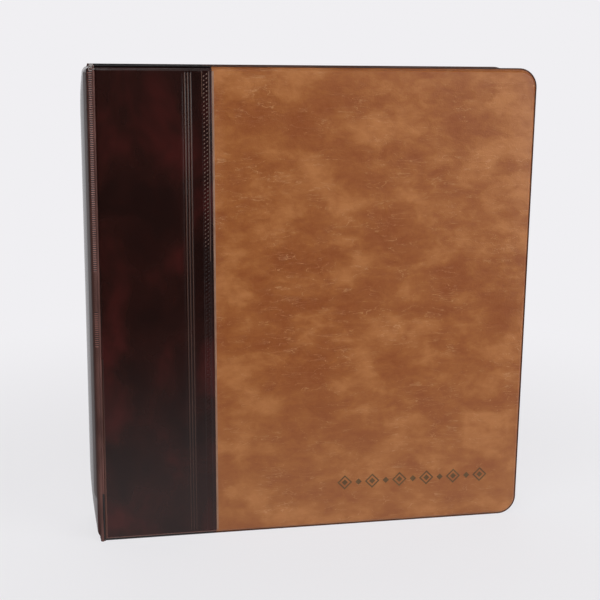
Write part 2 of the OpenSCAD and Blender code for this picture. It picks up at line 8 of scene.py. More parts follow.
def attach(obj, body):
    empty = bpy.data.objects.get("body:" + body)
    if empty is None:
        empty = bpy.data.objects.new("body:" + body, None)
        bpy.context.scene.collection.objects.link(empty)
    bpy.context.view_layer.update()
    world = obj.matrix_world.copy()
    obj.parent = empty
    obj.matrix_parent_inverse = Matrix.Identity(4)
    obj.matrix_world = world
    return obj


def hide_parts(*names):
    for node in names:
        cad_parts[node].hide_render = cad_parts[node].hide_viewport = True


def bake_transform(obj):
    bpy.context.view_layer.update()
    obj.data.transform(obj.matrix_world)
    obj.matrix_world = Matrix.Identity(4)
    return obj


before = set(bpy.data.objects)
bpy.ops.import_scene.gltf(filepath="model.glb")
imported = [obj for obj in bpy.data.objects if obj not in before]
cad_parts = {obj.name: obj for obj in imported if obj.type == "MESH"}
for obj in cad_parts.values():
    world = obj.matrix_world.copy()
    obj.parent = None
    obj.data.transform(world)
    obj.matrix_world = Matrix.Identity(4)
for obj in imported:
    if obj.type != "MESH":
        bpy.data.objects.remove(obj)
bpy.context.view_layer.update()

# The case is drawn in millimetres: X from the front cover's left edge, Y from the front cover's
# outer face, Z up. The frame is in metres, with its origin in the middle of the base.
MM = 0.001
CASE_W, CASE_T, CASE_H = 277.8, 52.0, 298.0
BASE_X, MID_Y = 135.725, CASE_T / 2  # middle of the base in the drawing

PANEL_X = 1.8  # the padded panel starts here
SEAM_X = 71.3  # the dark vinyl ends here, over the tan vinyl
RIM_W = 1.6  # flat welded rim round a cover
RIM_Y = 2.45  # depth of that rim under the outer face
SHOULDER_R = 1.6
CORNER_R = 12.0
LAP = 0.2  # height of the dark vinyl over the tan
WALL = 0.45  # thickness of the vinyl


def at(x, y, z):
    """A point of the drawing, in millimetres, as a point of the frame."""
    return Vector(((x - BASE_X) * MM, (y - MID_Y) * MM, z * MM))


def drawn(point):
    """A point of the frame as a point of the drawing."""
    return point.x / MM + BASE_X, point.y / MM + MID_Y, point.z / MM


# Modelling by hand: small steps that every piece below uses


def choose(main, *others):
    """Selects pieces and nothing else. The first one is the active one."""
    bpy.ops.object.select_all(action="DESELECT")
    for obj in (main, *others):
        obj.select_set(True)
    bpy.context.view_layer.objects.active = main


def start(obj):
    """Opens one piece for modelling."""
    choose(obj)
    bpy.ops.object.mode_set(mode="EDIT")


def done():
    bpy.ops.object.mode_set(mode="OBJECT")


def pick(kind, test):
    """Selects the vertices, edges or faces whose middle passes the test, in the drawing's millimetres."""
    bpy.ops.mesh.select_mode(type=kind)
    bpy.ops.mesh.select_all(action="DESELECT")
    mesh = bmesh.from_edit_mesh(bpy.context.object.data)
    parts = {"VERT": mesh.verts, "EDGE": mesh.edges, "FACE": mesh.faces}[kind]
    for part in parts:
        if kind == "VERT":
            middle = part.co
        elif kind == "EDGE":
            middle = (part.verts[0].co + part.verts[1].co) / 2
        else:
            middle = part.calc_center_median()
        if test(*drawn(middle)):
            part.select_set(True)
    mesh.select_flush_mode()
    bmesh.update_edit_mesh(bpy.context.object.data)


def move(x=0, y=0, z=0, reach=0, falloff="SMOOTH"):
    """Moves what is selected, in millimetres; with a reach, what lies round it follows softly."""
    bpy.ops.transform.translate(
        value=(x * MM, y * MM, z * MM),
        use_proportional_edit=reach > 0,
        proportional_edit_falloff=falloff,
        proportional_size=max(reach, 1) * MM,
    )


def squeeze(value, centre, reach):
    """Scales what is selected towards a place, and softly what lies within reach."""
    bpy.ops.transform.resize(
        value=value,
        center_override=at(*centre),
        use_proportional_edit=True,
        proportional_edit_falloff="SMOOTH",
        proportional_size=reach * MM,
    )


def only(test):
    """Hides every vertex that fails the test, so that soft moves leave it alone."""
    pick("VERT", test)
    bpy.ops.mesh.hide(unselected=True)


def draw_out(x=0, y=0, z=0):
    """Extrudes what is selected."""
    bpy.ops.mesh.extrude_region_move(
        TRANSFORM_OT_translate={"value": (x * MM, y * MM, z * MM)}
    )


def slices(axis, places):
    """Cuts the whole piece with planes square to an axis, so that it can be shaped there."""
    normal = Vector((axis == "x", axis == "y", axis == "z"))
    for place in places:
        bpy.ops.mesh.select_all(action="SELECT")
        bpy.ops.mesh.bisect(plane_co=at(place, place, place), plane_no=normal)


def weld():
    """Merges doubles and turns every face outwards."""
    bpy.ops.mesh.select_all(action="SELECT")
    bpy.ops.mesh.remove_doubles(threshold=0.002 * MM)
    bpy.ops.mesh.normals_make_consistent(inside=False)


def placed(scale=(1, 1, 1)):
    """The primitive that was just added, with its place, turn and scale applied."""
    obj = bpy.context.object
    obj.scale = scale
    bpy.ops.object.transform_apply(location=True, rotation=True, scale=True)
    return obj


def plate(name, x0, x1, z0, z1, y):
    """A flat rectangle that faces the front."""
    bpy.ops.mesh.primitive_plane_add(
        size=1, location=at((x0 + x1) / 2, y, (z0 + z1) / 2), rotation=(math.pi / 2, 0, 0)
    )
    obj = placed(((x1 - x0) * MM, (z1 - z0) * MM, 1))
    obj.name = name
    return obj


def finish_with(obj, kind, **settings):
    """Adds a modifier and applies it."""
    choose(obj)
    modifier = obj.modifiers.new(kind.lower(), kind)
    for name, value in settings.items():
        setattr(modifier, name, value)
    bpy.ops.object.modifier_apply(modifier=modifier.name)


def repeat(obj, count, x=0, z=0, **settings):
    """Repeats a piece at a fixed distance, in millimetres."""
    finish_with(
        obj, "ARRAY", count=count, use_relative_offset=False, use_constant_offset=True,
        constant_offset_displace=(x * MM, 0, z * MM), **settings,
    )


def smooth(obj):
    choose(obj)
    bpy.ops.object.shade_smooth_by_angle(angle=math.radians(40))


def join(main, *others):
    choose(main, *others)
    bpy.ops.object.join()


def mirrored(obj, name):
    """A copy for the back cover with its own mesh, turned right side out again."""
    choose(obj)
    bpy.ops.object.duplicate(linked=False)
    made = bpy.context.object
    made.name = name
    start(made)
    bpy.ops.mesh.select_all(action="SELECT")
    bpy.ops.transform.resize(value=(1, -1, 1), center_override=(0, 0, 0))
    weld()
    done()
    return made


# Materials


def srgb(text):
    """A colour written as sRGB hex, as the linear colour that a shader reads."""
    parts = [int(text[i : i + 2], 16) / 255 for i in (1, 3, 5)]
    linear = [c / 12.92 if c <= 0.04045 else ((c + 0.055) / 1.055) ** 2.4 for c in parts]
    return (*linear, 1)


def node(tree, kind, settings=None, sockets=None):
    """Adds a node with its settings; a socket's value is a number, a colour or another node's output."""
    made = tree.nodes.new("ShaderNode" + kind)
    for name, value in (settings or {}).items():
        setattr(made, name, value)
    for name, value in (sockets or {}).items():
        if isinstance(value, bpy.types.NodeSocket):
            tree.links.new(value, made.inputs[name])
        else:
            made.inputs[name].default_value = value
    return made


def shade(name, **sockets):
    """A new material with one Principled shader, and its tree."""
    made = bpy.data.materials.new(name)
    made.use_nodes = True
    tree = made.node_tree
    shader = tree.nodes["Principled BSDF"]
    for socket, value in sockets.items():
        shader.inputs[socket.replace("_", " ")].default_value = value
    return made, tree, shader


def size(millimetres):
    """The scale of a texture whose features are this big."""
    return 1 / (millimetres * MM)


def suede_look_vinyl():
    """Tan PVC sheet, printed and embossed to look like suede: satin, cloudy, with fine pale creases."""
    made, tree, shader = shade("Tan_suede_look_vinyl", IOR=1.5, Roughness=0.43)
    place = node(tree, "TexCoord").outputs["Object"]
    # Printed clouds about 33 mm wide, drawn out sideways, with soft edges. The location is the place on
    # the printed roll that this sheet was cut from.
    cloud_place = node(
        tree, "Mapping", {},
        {"Vector": place, "Scale": (1, 1, 1.6), "Rotation": (0, 0.3, 0), "Location": (-0.8546, 0, 4.9492)},
    )
    clouds = node(
        tree, "TexNoise", {},
        {"Vector": cloud_place.outputs["Vector"], "Scale": size(33), "Detail": 4.0, "Roughness": 0.55,
         "Distortion": 0.25},
    )
    edges = node(
        tree, "MapRange", {"interpolation_type": "SMOOTHSTEP"},
        {"Value": clouds.outputs["Fac"], "From Min": 0.33, "From Max": 0.7},
    )
    # Smudges in them, about 13 mm wide
    smudge_place = node(
        tree, "Mapping", {}, {"Vector": place, "Scale": (1, 1, 1.7), "Rotation": (0, 0.1, 0)}
    )
    smudges = node(
        tree, "TexNoise", {},
        {"Vector": smudge_place.outputs["Vector"], "Scale": size(13), "Detail": 6.0, "Roughness": 0.7,
         "Distortion": 0.4},
    )
    both = node(
        tree, "Math", {"operation": "MULTIPLY_ADD"},
        {0: smudges.outputs["Fac"], 1: 1.5, 2: edges.outputs["Result"]},
    )
    half = node(tree, "Math", {"operation": "MULTIPLY"}, {0: both.outputs[0], 1: 0.5})
    tones = node(tree, "ValToRGB", {}, {"Fac": half.outputs[0]})
    ramp = tones.color_ramp
    ramp.elements[0].position, ramp.elements[0].color = 0.32, srgb("#88440c")
    ramp.elements[1].position, ramp.elements[1].color = 0.92, srgb("#ac6c37")
    ramp.elements.new(0.62).color = srgb("#97561f")
    # Creases: hair lines 0.3 mm wide that run nearly level, each about 20 mm long, in loose clusters
    crease_place = node(
        tree, "Mapping", {}, {"Vector": place, "Scale": (1, 1, 5.5), "Rotation": (0, 0.12, 0)}
    )
    folds = node(
        tree, "TexNoise", {},
        {"Vector": crease_place.outputs["Vector"], "Scale": size(24), "Detail": 3.0, "Roughness": 0.5,
         "Distortion": 0.5},
    )
    off_line = node(
        tree, "Math", {"operation": "COMPARE"}, {0: folds.outputs["Fac"], 1: 0.5, 2: 0.006}
    )
    cluster_noise = node(
        tree, "TexNoise", {}, {"Vector": place, "Scale": size(17), "Detail": 4.0, "Roughness": 0.7}
    )
    clusters = node(
        tree, "MapRange", {}, {"Value": cluster_noise.outputs["Fac"], "From Min": 0.42, "From Max": 0.6}
    )
    creases = node(
        tree, "Math", {"operation": "MULTIPLY"}, {0: off_line.outputs[0], 1: clusters.outputs["Result"]}
    )
    paleness = node(tree, "Math", {"operation": "MULTIPLY"}, {0: creases.outputs[0], 1: 0.4})
    worn = node(
        tree, "Mix", {"data_type": "RGBA"},
        {0: paleness.outputs[0], 6: tones.outputs["Color"], 7: srgb("#c28f60")},
    )
    # Painted sheen: the print is made paler towards the foot, standing in for the pale floor mirrored there
    height_up = node(tree, "SeparateXYZ", {}, {0: place})
    painted_sheen_at_foot = node(
        tree, "MapRange", {},
        {"Value": height_up.outputs["Z"], "From Min": 110 * MM, "From Max": 10 * MM, "To Max": 0.09},
    )
    with_painted_sheen = node(
        tree, "Mix", {"data_type": "RGBA"},
        {0: painted_sheen_at_foot.outputs["Result"], 6: worn.outputs[2], 7: srgb("#c8a077")},
    )
    tree.links.new(with_painted_sheen.outputs[2], shader.inputs["Base Color"])
    # Embossed grain of the sheet, about 0.9 mm, with the creases standing up from it, over a soft crumple
    grain = node(tree, "TexNoise", {}, {"Vector": place, "Scale": size(0.9), "Detail": 2.0})
    height = node(tree, "Math", {"operation": "ADD"}, {0: grain.outputs["Fac"], 1: creases.outputs[0]})
    crumple = node(
        tree, "Bump", {}, {"Height": smudges.outputs["Fac"], "Strength": 0.3, "Distance": 0.8 * MM}
    )
    bump = node(
        tree, "Bump", {},
        {"Height": height.outputs[0], "Strength": 0.35, "Distance": 0.1 * MM,
         "Normal": crumple.outputs["Normal"]},
    )
    tree.links.new(bump.outputs["Normal"], shader.inputs["Normal"])
    return made


def glazed_vinyl(name, roughness, specular):
    """Dark brown PVC sheet, rubbed to look like old leather: half gloss, with reddish patches."""
    made, tree, shader = shade(name, IOR=1.5, Roughness=roughness, Specular_IOR_Level=specular)
    place = node(tree, "TexCoord").outputs["Object"]
    patch_place = node(tree, "Mapping", {}, {"Vector": place, "Scale": (1, 1, 0.75)})
    patches = node(
        tree, "TexNoise", {},
        {"Vector": patch_place.outputs["Vector"], "Scale": size(30), "Detail": 3.0, "Distortion": 0.4},
    )
    tones = node(tree, "ValToRGB", {}, {"Fac": patches.outputs["Fac"]})
    ramp = tones.color_ramp
    ramp.elements[0].position, ramp.elements[0].color = 0.36, srgb("#1e0b08")
    ramp.elements[1].position, ramp.elements[1].color = 0.7, srgb("#3c1411")
    ramp.elements.new(0.52).color = srgb("#280f0b")
    tree.links.new(tones.outputs["Color"], shader.inputs["Base Color"])
    # Fine grain of the sheet, about 1.2 mm
    grain = node(tree, "TexNoise", {}, {"Vector": place, "Scale": size(1.2), "Detail": 2.0})
    bump = node(tree, "Bump", {}, {"Height": grain.outputs["Fac"], "Strength": 0.12, "Distance": 0.1 * MM})
    tree.links.new(bump.outputs["Normal"], shader.inputs["Normal"])
    return made


def hinge_vinyl():
    """The same sheet, thinned and paled by the hot ribbed tool of the hinge."""
    made, tree, shader = shade("Pressed_hinge_vinyl", IOR=1.5, Roughness=0.42, Specular_IOR_Level=0.25)
    place = node(tree, "TexCoord").outputs["Object"]
    patch_place = node(tree, "Mapping", {}, {"Vector": place, "Scale": (1, 1, 0.4)})
    patches = node(
        tree, "TexNoise", {}, {"Vector": patch_place.outputs["Vector"], "Scale": size(12), "Detail": 2.0}
    )
    tones = node(tree, "ValToRGB", {}, {"Fac": patches.outputs["Fac"]})
    ramp = tones.color_ramp
    ramp.elements[0].position, ramp.elements[0].color = 0.35, srgb("#4e322d")
    ramp.elements[1].position, ramp.elements[1].color = 0.7, srgb("#6c4a44")
    # It is darker where it turns round the edge of the spine
    across = node(tree, "SeparateXYZ", {}, {0: place})
    turn = node(
        tree, "MapRange", {},
        {"Value": across.outputs["X"], "From Min": at(-3.3, 0, 0).x, "From Max": at(0.3, 0, 0).x},
    )
    paled = node(
        tree, "Mix", {"data_type": "RGBA"},
        {0: turn.outputs["Result"], 6: srgb("#33170f"), 7: tones.outputs["Color"]},
    )
    tree.links.new(paled.outputs[2], shader.inputs["Base Color"])
    return made


def paled_by_height(name, dark_tone, pale_tone, low, high):
    """Dark vinyl that pales more and more from one height to another: painted highlight, and on the tooled
    lines worn print as well.
    """
    made, tree, shader = shade(name, IOR=1.5, Roughness=0.4, Specular_IOR_Level=0.35)
    height = node(tree, "SeparateXYZ", {}, {0: node(tree, "TexCoord").outputs["Object"]})
    paling = node(
        tree, "MapRange", {}, {"Value": height.outputs["Z"], "From Min": low * MM, "From Max": high * MM}
    )
    toned = node(
        tree, "Mix", {"data_type": "RGBA"},
        {0: paling.outputs["Result"], 6: srgb(dark_tone), 7: srgb(pale_tone)},
    )
    tree.links.new(toned.outputs[2], shader.inputs["Base Color"])
    return made


def drifting(name, low, high, patch, grain, stand, **sockets):
    """A finish whose tone drifts between two colours in patches, with a grain that stands up from it.
    The sizes of the patches and grains, and how far the grains stand up, are in millimetres."""
    made, tree, shader = shade(name, **sockets)
    place = node(tree, "TexCoord").outputs["Object"]
    patches = node(tree, "TexNoise", {}, {"Vector": place, "Scale": size(patch), "Detail": 4.0})
    drift = node(
        tree, "MapRange", {}, {"Value": patches.outputs["Fac"], "From Min": 0.35, "From Max": 0.65}
    )
    tone = node(
        tree, "Mix", {"data_type": "RGBA"}, {0: drift.outputs["Result"], 6: srgb(low), 7: srgb(high)}
    )
    tree.links.new(tone.outputs[2], shader.inputs["Base Color"])
    grains = node(tree, "TexNoise", {}, {"Vector": place, "Scale": size(grain), "Detail": 2.0})
    bump = node(
        tree, "Bump", {}, {"Height": grains.outputs["Fac"], "Strength": 0.3, "Distance": stand * MM}
    )
    tree.links.new(bump.outputs["Normal"], shader.inputs["Normal"])
    return made


TAN = suede_look_vinyl()
DARK = glazed_vinyl("Dark_glazed_vinyl", 0.26, 0.34)
# The spine is handled most: smooth, with its lacquer gone
SPINE = glazed_vinyl("Dark_handled_vinyl", 0.22, 0.3)
HINGE = hinge_vinyl()
# Calendered PVC lining, dark brown, with a fine hair-cell grain from the roller
LINING = drifting("Calendered_lining_vinyl", "#2e1c16", "#3a2620", 28, 1.1, 0.12, IOR=1.5, Roughness=0.42)
# Painted highlight on the crests of the hinge's ribs, the palest part of it
CREST_HIGHLIGHT = drifting("Rib_crests_painted_highlight", "#7e534b", "#8d5f56", 6, 0.6, 0.03, IOR=1.5, Roughness=0.45)
# The lining where the weld has squeezed it out: almost black, and glossy. The hinge also takes it as painted
# shade in its rib valleys and its gap
EDGE = drifting("Welded_edge_vinyl_and_painted_shade", "#0b0709", "#110b0d", 5, 0.7, 0.03, IOR=1.5, Roughness=0.3)
# The tan sheet where the weld has pressed it into the lining: red-brown
TAN_EDGE = drifting("Welded_tan_edge_vinyl", "#3b1b0d", "#4b2511", 7, 0.7, 0.03, IOR=1.5, Roughness=0.4)
# Painted highlight on the rolled lip of the tan sheet beside the dark one: paler and greyer than the tan
LIP_HIGHLIGHT = drifting("Tan_lip_painted_highlight", "#88634e", "#96715c", 6, 0.7, 0.03, IOR=1.5, Roughness=0.45)
# Tops of the tooled lines, where handling has rubbed the dark print away, with a painted highlight that grows
# paler towards the top
RUBBED_AND_HIGHLIT = paled_by_height("Tooled_lines_rubbed_and_painted_highlight", "#3c2720", "#583c30", 20, 290)
# Painted highlight on the panel's lower shoulders, paler towards the foot
SHOULDER_HIGHLIGHT = paled_by_height("Lower_shoulders_painted_highlight", "#2a0f0c", "#6b463c", 130, 0)
# Painted highlight on the tops of the stitches, paler and paler towards the top
STITCH_HIGHLIGHT = paled_by_height("Stitch_tops_painted_highlight", "#1c0d0b", "#765b50", 110, 285)
# Painted highlight: the end of the hinge's weld in pale grey, for the light that its curled vinyl reflects
HEAD_HIGHLIGHT = drifting("Strip_head_painted_highlight", "#827c7a", "#928c8a", 1.5, 0.5, 0.05, IOR=1.5, Roughness=0.35)
# Stamped with a hot brass tool, which darkens the vinyl
STAMPED = drifting("Hot_stamped_vinyl", "#573b1a", "#654924", 4, 0.6, 0.03, IOR=1.53, Roughness=0.6)
# Recycled binder's board, grey-brown and matt, with flecks of pulp about 2 mm across
BOARD = drifting("Binders_board", "#83765f", "#978a73", 2, 0.8, 0.1, IOR=1.5, Roughness=0.9)
# Open-cell foam sheet, whose cells are about 0.6 mm
FOAM = drifting("White_foam_sheet", "#ddd9c8", "#efebdc", 9, 0.6, 0.3, IOR=1.4, Roughness=0.95)
# Nickel plating over pressed steel: warm grey mirror, slightly dull, with the sheet's faint roller grain
NICKEL = drifting("Nickel_plated_steel", "#b5b0a6", "#c5c0b6", 9, 0.5, 0.015, Metallic=1.0, Roughness=0.28)
# Chromed ring wire: brighter than the nickel, with faint drawing marks
CHROME = drifting("Chromed_ring_wire", "#c3c5c7", "#cfd1d3", 4, 0.4, 0.006, Metallic=1.0, Roughness=0.14)
# Uncoated card, off-white, a little yellowed in patches, with fibres about 0.5 mm
CARD = drifting("Off_white_page_card", "#e8e2d0", "#f0ecdf", 40, 0.5, 0.05, IOR=1.5, Roughness=0.85)
# Clear polypropylene film, glossy, which never lies quite flat
FILM = drifting("Clear_page_film", "#f2f6f8", "#f6fafc", 30, 35, 0.8, IOR=1.49, Roughness=0.12, Alpha=0.18)


def cover_over(obj, *finishes):
    """Gives a piece its finishes. All its faces take the first one."""
    obj.data.materials.clear()
    for finish in finishes:
        obj.data.materials.append(finish)


def paint(obj, slot, test):
    """Gives the faces that pass the test another of the piece's finishes."""
    start(obj)
    pick("FACE", test)
    obj.active_material_index = slot
    bpy.ops.object.material_slot_assign()
    done()


# The seam of the two vinyls leans: it was laid by hand

SEAM_TOP, SEAM_LEAN = -0.47, 2.04


def seam_at(z):
    return SEAM_X + SEAM_TOP + SEAM_LEAN * (1 - z / CASE_H)


def lean(obj, test):
    """Leans the part of a piece that lies along the seam."""
    start(obj)
    only(test)
    bpy.ops.mesh.select_all(action="SELECT")
    move(x=SEAM_TOP)
    pick("VERT", lambda x, y, z: z < 0.01)
    move(x=SEAM_LEAN, reach=CASE_H, falloff="LINEAR")
    bpy.ops.mesh.reveal(select=False)
    done()


# The tan vinyl of a cover


def tan_vinyl(name):
    obj = plate(name, SEAM_X - RIM_W, CASE_W, 0, CASE_H, RIM_Y)
    start(obj)
    pick("VERT", lambda x, y, z: x > CASE_W - 1)
    bpy.ops.mesh.bevel(offset=CORNER_R * MM, segments=14, affect="VERTICES")
    bpy.ops.mesh.select_all(action="SELECT")
    bpy.ops.mesh.inset(thickness=RIM_W * MM)
    draw_out(y=LAP - RIM_Y)
    pick("EDGE", lambda x, y, z: y < LAP + 0.01 and x > SEAM_X + 0.01)
    bpy.ops.mesh.bevel(offset=(SHOULDER_R - LAP / 2) * MM, segments=6, affect="EDGES")
    pick("FACE", lambda x, y, z: x < SEAM_X + 0.01)
    bpy.ops.mesh.delete(type="FACE")
    slices("x", [SEAM_X + d for d in (0.25, 0.5, 0.8, 1.2)])
    slices("x", range(80, 270, 10))
    slices("z", range(10, 290, 10))
    # The lip that the weld squeezes up beside the dark vinyl
    for across, height in ((0.5, 0.12), (0.25, 0.08), (0.8, 0.08)):
        pick("VERT", lambda x, y, z: abs(x - SEAM_X - across) < 0.01 and y < LAP + 0.01)
        move(y=-height)
    # The foam lifts the middle of the panel a little
    pick("VERT", lambda x, y, z: abs(x - 170) < 1 and abs(z - 150) < 1)
    move(y=-0.12, reach=120)
    weld()
    done()
    finish_with(obj, "SOLIDIFY", thickness=WALL * MM, offset=-1)
    lean(obj, lambda x, y, z: x < SEAM_X + 1.3)
    cover_over(obj, TAN, LIP_HIGHLIGHT)
    # The lip beside the seam takes the painted highlight
    paint(obj, 1, lambda x, y, z: abs(x - seam_at(z) - 0.6) < 0.58 and y < 0.3 and 3 < z < 295)
    return obj


front_tan = tan_vinyl("front_tan_vinyl")
back_tan = mirrored(front_tan, "back_tan_vinyl")


# The ornament that is stamped into the front cover only

STAMP_X, STAMP_Z = 157.6, 30.0  # middle of the first lozenge
STAMP_PITCH, STAMP_COUNT = 18.6, 6
LOZENGE_R, SMALL_R = 5.0, 2.2
LOZENGE_FRAME, LOZENGE_GAP = 0.95, 1.1
STAMP_FLOOR = LAP + 0.16


def lozenge(x, radius):
    """A flat lozenge on the floor of the stamped row."""
    bpy.ops.mesh.primitive_circle_add(
        vertices=4, radius=radius * MM, fill_type="NGON", location=at(x, STAMP_FLOOR, STAMP_Z),
        rotation=(math.pi / 2, 0, 0),
    )
    obj = placed()
    start(obj)
    bpy.ops.mesh.select_all(action="SELECT")
    return obj


def tool_row(obj, count):
    """Draws a shape out through the vinyl, and repeats it along the row."""
    bpy.ops.mesh.select_all(action="SELECT")
    draw_out(y=-1.2)
    weld()
    done()
    repeat(obj, count, x=STAMP_PITCH)


def ornament():
    """A row of open lozenges with small ones between them, as solid tools that reach into the vinyl."""
    large = lozenge(STAMP_X, LOZENGE_R)
    bpy.ops.mesh.inset(thickness=LOZENGE_FRAME * MM)
    bpy.ops.mesh.inset(thickness=LOZENGE_GAP * MM)
    # The gap between the frame and the heart
    pick("FACE", lambda x, y, z: 0.5 < abs(x - STAMP_X) + abs(z - STAMP_Z) < 3.2)
    bpy.ops.mesh.delete(type="FACE")
    tool_row(large, STAMP_COUNT)
    small = lozenge(STAMP_X + STAMP_PITCH / 2, SMALL_R)
    tool_row(small, STAMP_COUNT - 1)
    join(large, small)
    return large


def stamp(obj, tool):
    finish_with(obj, "BOOLEAN", operation="DIFFERENCE", solver="EXACT", object=tool)
    bpy.data.objects.remove(tool)
    obj.data.materials.append(STAMPED)
    paint(
        obj, 2,
        lambda x, y, z: STAMP_X - 6 < x < CASE_W - 20 and abs(z - STAMP_Z) < 6
        and LAP + 0.02 < y < STAMP_FLOOR + 0.04,
    )


stamp(front_tan, ornament())

# The dark vinyl of a cover, with its tooled lines and the braided weld

GROOVE_PITCH = 1.77  # from one tooled groove to the next
GROOVES = [54.0 + GROOVE_PITCH * i for i in range(4)]
CRESTS = [x + GROOVE_PITCH / 2 for x in GROOVES[:3]]  # the raised lines between them
GROOVE_HALF = 0.5
GROOVE_Z = 4.2  # distance of their ends from the case's ends
WELD = (65.4, 69.0)  # both sides of the weld
WELD_DEPTH = 0.2
WELD_Z = RIM_W + SHOULDER_R  # its distance from the case's ends


def dark_vinyl(name):
    obj = plate(name, PANEL_X, SEAM_X, RIM_W, CASE_H - RIM_W, 0)
    start(obj)
    pick("EDGE", lambda x, y, z: x < SEAM_X - 1)
    draw_out(y=RIM_Y)
    # The flat rim at the ends
    for z, out in ((RIM_W, -RIM_W), (CASE_H - RIM_W, RIM_W)):
        pick("EDGE", lambda x, y, edge_z: y > RIM_Y - 0.01 and abs(edge_z - z) < 0.01)
        draw_out(z=out)
    pick("EDGE", lambda x, y, z: y < 0.01 and x < SEAM_X - 1)
    bpy.ops.mesh.bevel(offset=SHOULDER_R * MM, segments=6, affect="EDGES")
    slices("x", [x + d * GROOVE_HALF for x in GROOVES for d in (-1, -0.5, 0, 0.5, 1)])
    slices("x", [x + d for x in CRESTS for d in (-0.2, 0, 0.2)])
    slices("x", [WELD[0] - 0.4, WELD[0] - 0.2, WELD[0], WELD[0] + 0.2])
    slices("x", [WELD[1] - 0.2, WELD[1], WELD[1] + 0.25, WELD[1] + 0.5, SEAM_X - 0.7, SEAM_X - 0.3])
    slices("x", range(10, 54, 6))
    slices("z", [WELD_Z, WELD_Z + 0.3, GROOVE_Z - 0.6, GROOVE_Z])
    slices("z", [CASE_H - z for z in (WELD_Z, WELD_Z + 0.3, GROOVE_Z - 0.6, GROOVE_Z)])
    slices("z", range(10, 290, 10))
    tooled = lambda z: GROOVE_Z - 0.01 < z < CASE_H - GROOVE_Z + 0.01
    welded = lambda z: WELD_Z < z < CASE_H - WELD_Z
    # The outer two grooves are shallower
    for groove, depth in zip(GROOVES, (0.12, 0.25, 0.25, 0.12)):
        pick("VERT", lambda x, y, z: abs(x - groove) < 0.01 and y < 0.01 and tooled(z))
        move(y=depth)
        pick("VERT", lambda x, y, z: abs(abs(x - groove) - GROOVE_HALF / 2) < 0.01 and y < 0.01 and tooled(z))
        move(y=depth * 0.76)
    for crest in CRESTS:
        for half, height in ((0.25, 0.08), (0.01, 0.05)):
            pick("VERT", lambda x, y, z: abs(x - crest) < half and y < 0.01 and tooled(z))
            move(y=-height)
    # The weld's floor
    left, right = WELD[0] + 0.1, WELD[1] - 0.1
    pick("VERT", lambda x, y, z: left < x < right and y < 0.01 and welded(z - 0.2) and welded(z + 0.2))
    move(y=WELD_DEPTH)
    # Raised edges of the weld
    for edge, height in ((WELD[0] - 0.2, 0.12), (WELD[1] + 0.25, 0.14)):
        pick("VERT", lambda x, y, z: abs(x - edge) < 0.01 and y < 0.01 and welded(z))
        move(y=-height)
    # The rolled end of the dark sheet
    for edge, depth in ((SEAM_X, 0.15), (SEAM_X - 0.3, 0.05)):
        pick("VERT", lambda x, y, z: abs(x - edge) < 0.01 and y < 0.01)
        move(y=depth)
    weld()
    done()
    finish_with(obj, "SOLIDIFY", thickness=WALL * MM, offset=-1)
    cover_over(obj, DARK, RUBBED_AND_HIGHLIT, SHOULDER_HIGHLIGHT)
    # The raised lines, and the weld's edges towards the top, are rubbed and carry a painted highlight
    paint(obj, 1, lambda x, y, z: y < 0 and tooled(z) and min(abs(x - crest) for crest in CRESTS) < 0.2)
    paint(obj, 1, lambda x, y, z: -0.1 < y < 0.0 and abs(x - WELD[1] - 0.25) < 0.3 and z > 180)
    paint(obj, 1, lambda x, y, z: -0.2 < y < 0.0 and abs(x - WELD[0] + 0.2) < 0.25 and z > 284)
    # Painted highlight on the shoulders, towards the foot
    paint(
        obj, 2,
        lambda x, y, z: 0.05 < y < 1.3 and z < 125 and (x < PANEL_X + SHOULDER_R or z < RIM_W + SHOULDER_R),
    )
    return obj


STITCH_ROWS = (66.35, 68.05)
STITCH_Z, STITCH_PITCH, STITCH_COUNT = 4.4, 2.5, 116
STITCH_HALF = (0.95, 0.32, 0.44)  # half of a stitch's length, height and width
STITCH_SLANT = 52


def stitch_row(x, low):
    """A row of slanting stitches, each a half lens of a few faces."""
    centre = at(x, WELD_DEPTH, low)
    bpy.ops.mesh.primitive_uv_sphere_add(
        segments=8, ring_count=6, radius=1 * MM, location=centre, rotation=(0, math.pi / 2, 0)
    )
    row = placed()
    start(row)
    bpy.ops.mesh.select_all(action="SELECT")
    bpy.ops.transform.resize(value=STITCH_HALF, center_override=centre)
    bpy.ops.transform.rotate(value=math.radians(STITCH_SLANT), orient_axis="Y", center_override=centre)
    pick("FACE", lambda x, y, z: y > WELD_DEPTH + 0.1)
    bpy.ops.mesh.delete(type="FACE")
    bpy.ops.mesh.select_mode(type="EDGE")
    bpy.ops.mesh.select_all(action="DESELECT")
    bpy.ops.mesh.select_non_manifold()
    bpy.ops.mesh.edge_face_add()
    weld()
    done()
    repeat(row, STITCH_COUNT, z=STITCH_PITCH)
    return row


def braid():
    """Two staggered rows of stitches, pressed into the weld by its tool."""
    obj = stitch_row(STITCH_ROWS[0], STITCH_Z)
    join(obj, stitch_row(STITCH_ROWS[1], STITCH_Z + STITCH_PITCH / 2))
    # The tool pressed them less and less towards the foot
    start(obj)
    pick("VERT", lambda x, y, z: z < STITCH_Z + 1)
    squeeze((1, 0.12, 1), (66, WELD_DEPTH, 0), 285)
    done()
    return obj


front_dark = dark_vinyl("front_dark_vinyl")
stitches = braid()
cover_over(stitches, DARK, STITCH_HIGHLIGHT)
# Painted highlight on the stitches' tops above mid height
paint(stitches, 1, lambda x, y, z: z > 110 and y < WELD_DEPTH - 0.19)
join(front_dark, stitches)
lean(front_dark, lambda x, y, z: x > 53)
back_dark = mirrored(front_dark, "back_dark_vinyl")

# The bead of lining vinyl that the weld squeezes out along the edge of a cover

BEAD_W, TAN_BEAD_W = 1.1, 0.7


